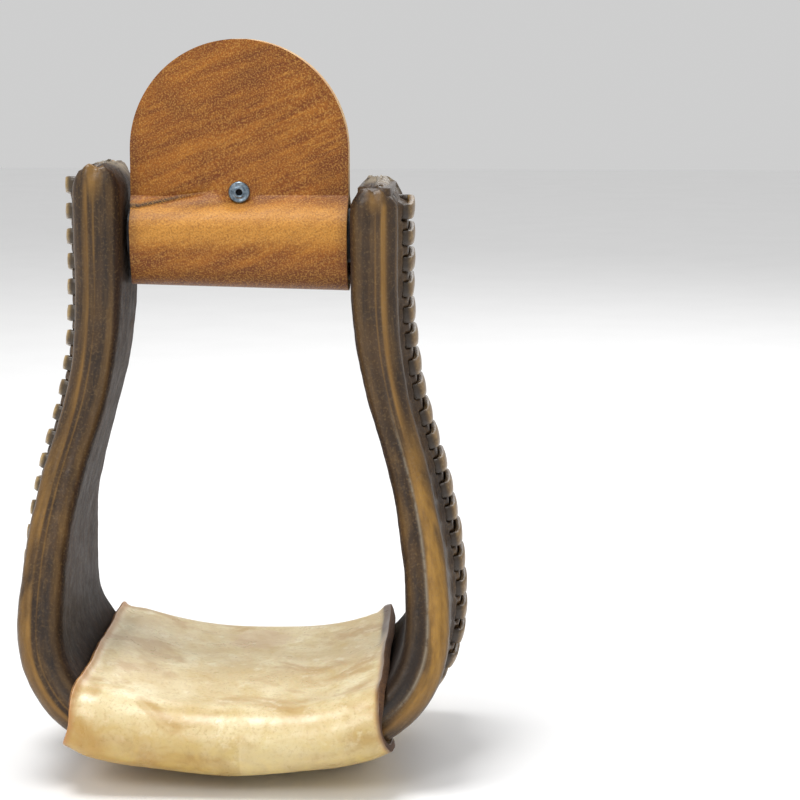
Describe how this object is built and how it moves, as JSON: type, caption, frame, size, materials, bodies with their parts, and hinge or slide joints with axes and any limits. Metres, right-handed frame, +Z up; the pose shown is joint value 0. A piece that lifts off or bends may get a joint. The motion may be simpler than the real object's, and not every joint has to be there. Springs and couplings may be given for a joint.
{
  "type": "western saddle stirrup",
  "caption": "Bell-bottomed leather-covered wooden stirrup with laced outer seams, a pale leather tread sleeve, and a riveted bolt leather on a neck roller.",
  "frame": {"origin": "on the resting plane, under the middle of the tread", "axes": "+X across the stirrup along its bolt, -Y the front, +Z up"},
  "size_m": [0.1538, 0.111, 0.2519],
  "materials": {
    "cover_leather": "dark brown wet-formed leather, semi-gloss, rubbed golden brown on the edges",
    "lacing": "flat tan lacing, waxed, pale on its high spots",
    "tread_rawhide": "cream rawhide-like leather, mottled, glossy on the front roll",
    "bolt_leather": "orange-brown oiled leather with a fine grain and cream cut edges",
    "bent_wood": "plain steam-bent hardwood",
    "zinc": "dull zinc plate",
    "steel": "plain steel",
    "blued_steel": "dark blue-grey finish",
    "nylon": "black moulded nylon",
    "brass": "dull brass"
  },
  "bodies": {
    "frame": {"wooden_bow": "bent_wood", "leather_cover": "cover_leather", "right_lace": "lacing", "left_lace": "lacing", "tread_sleeve": "tread_rawhide", "sleeve_tack_1": "brass", "sleeve_tack_2": "brass", "sleeve_tack_3": "brass", "sleeve_tack_4": "brass", "sleeve_tack_5": "brass", "sleeve_tack_6": "brass", "sleeve_tack_7": "brass", "sleeve_tack_8": "brass", "stirrup_bolt": "steel", "bolt_washer": "steel", "nut_washer": "steel", "bolt_nut": "steel"},
    "roller": {"roller_tube": "blued_steel", "right_roller_bush": "nylon", "left_roller_bush": "nylon"},
    "flap": {"bolt_leather": "bolt_leather", "flap_rivet": "zinc", "rivet_washer": "zinc"}
  },
  "joints": [
    {"name": "roller_spin", "type": "hinge", "parent": "frame", "child": "roller", "pos_m": [0, 0, 0.185], "axis": [1, 0, 0], "continuous": true},
    {"name": "flap_swing", "type": "hinge", "parent": "frame", "child": "flap", "pos_m": [0, 0, 0.185], "axis": [1, 0, 0], "continuous": true}
  ]
}
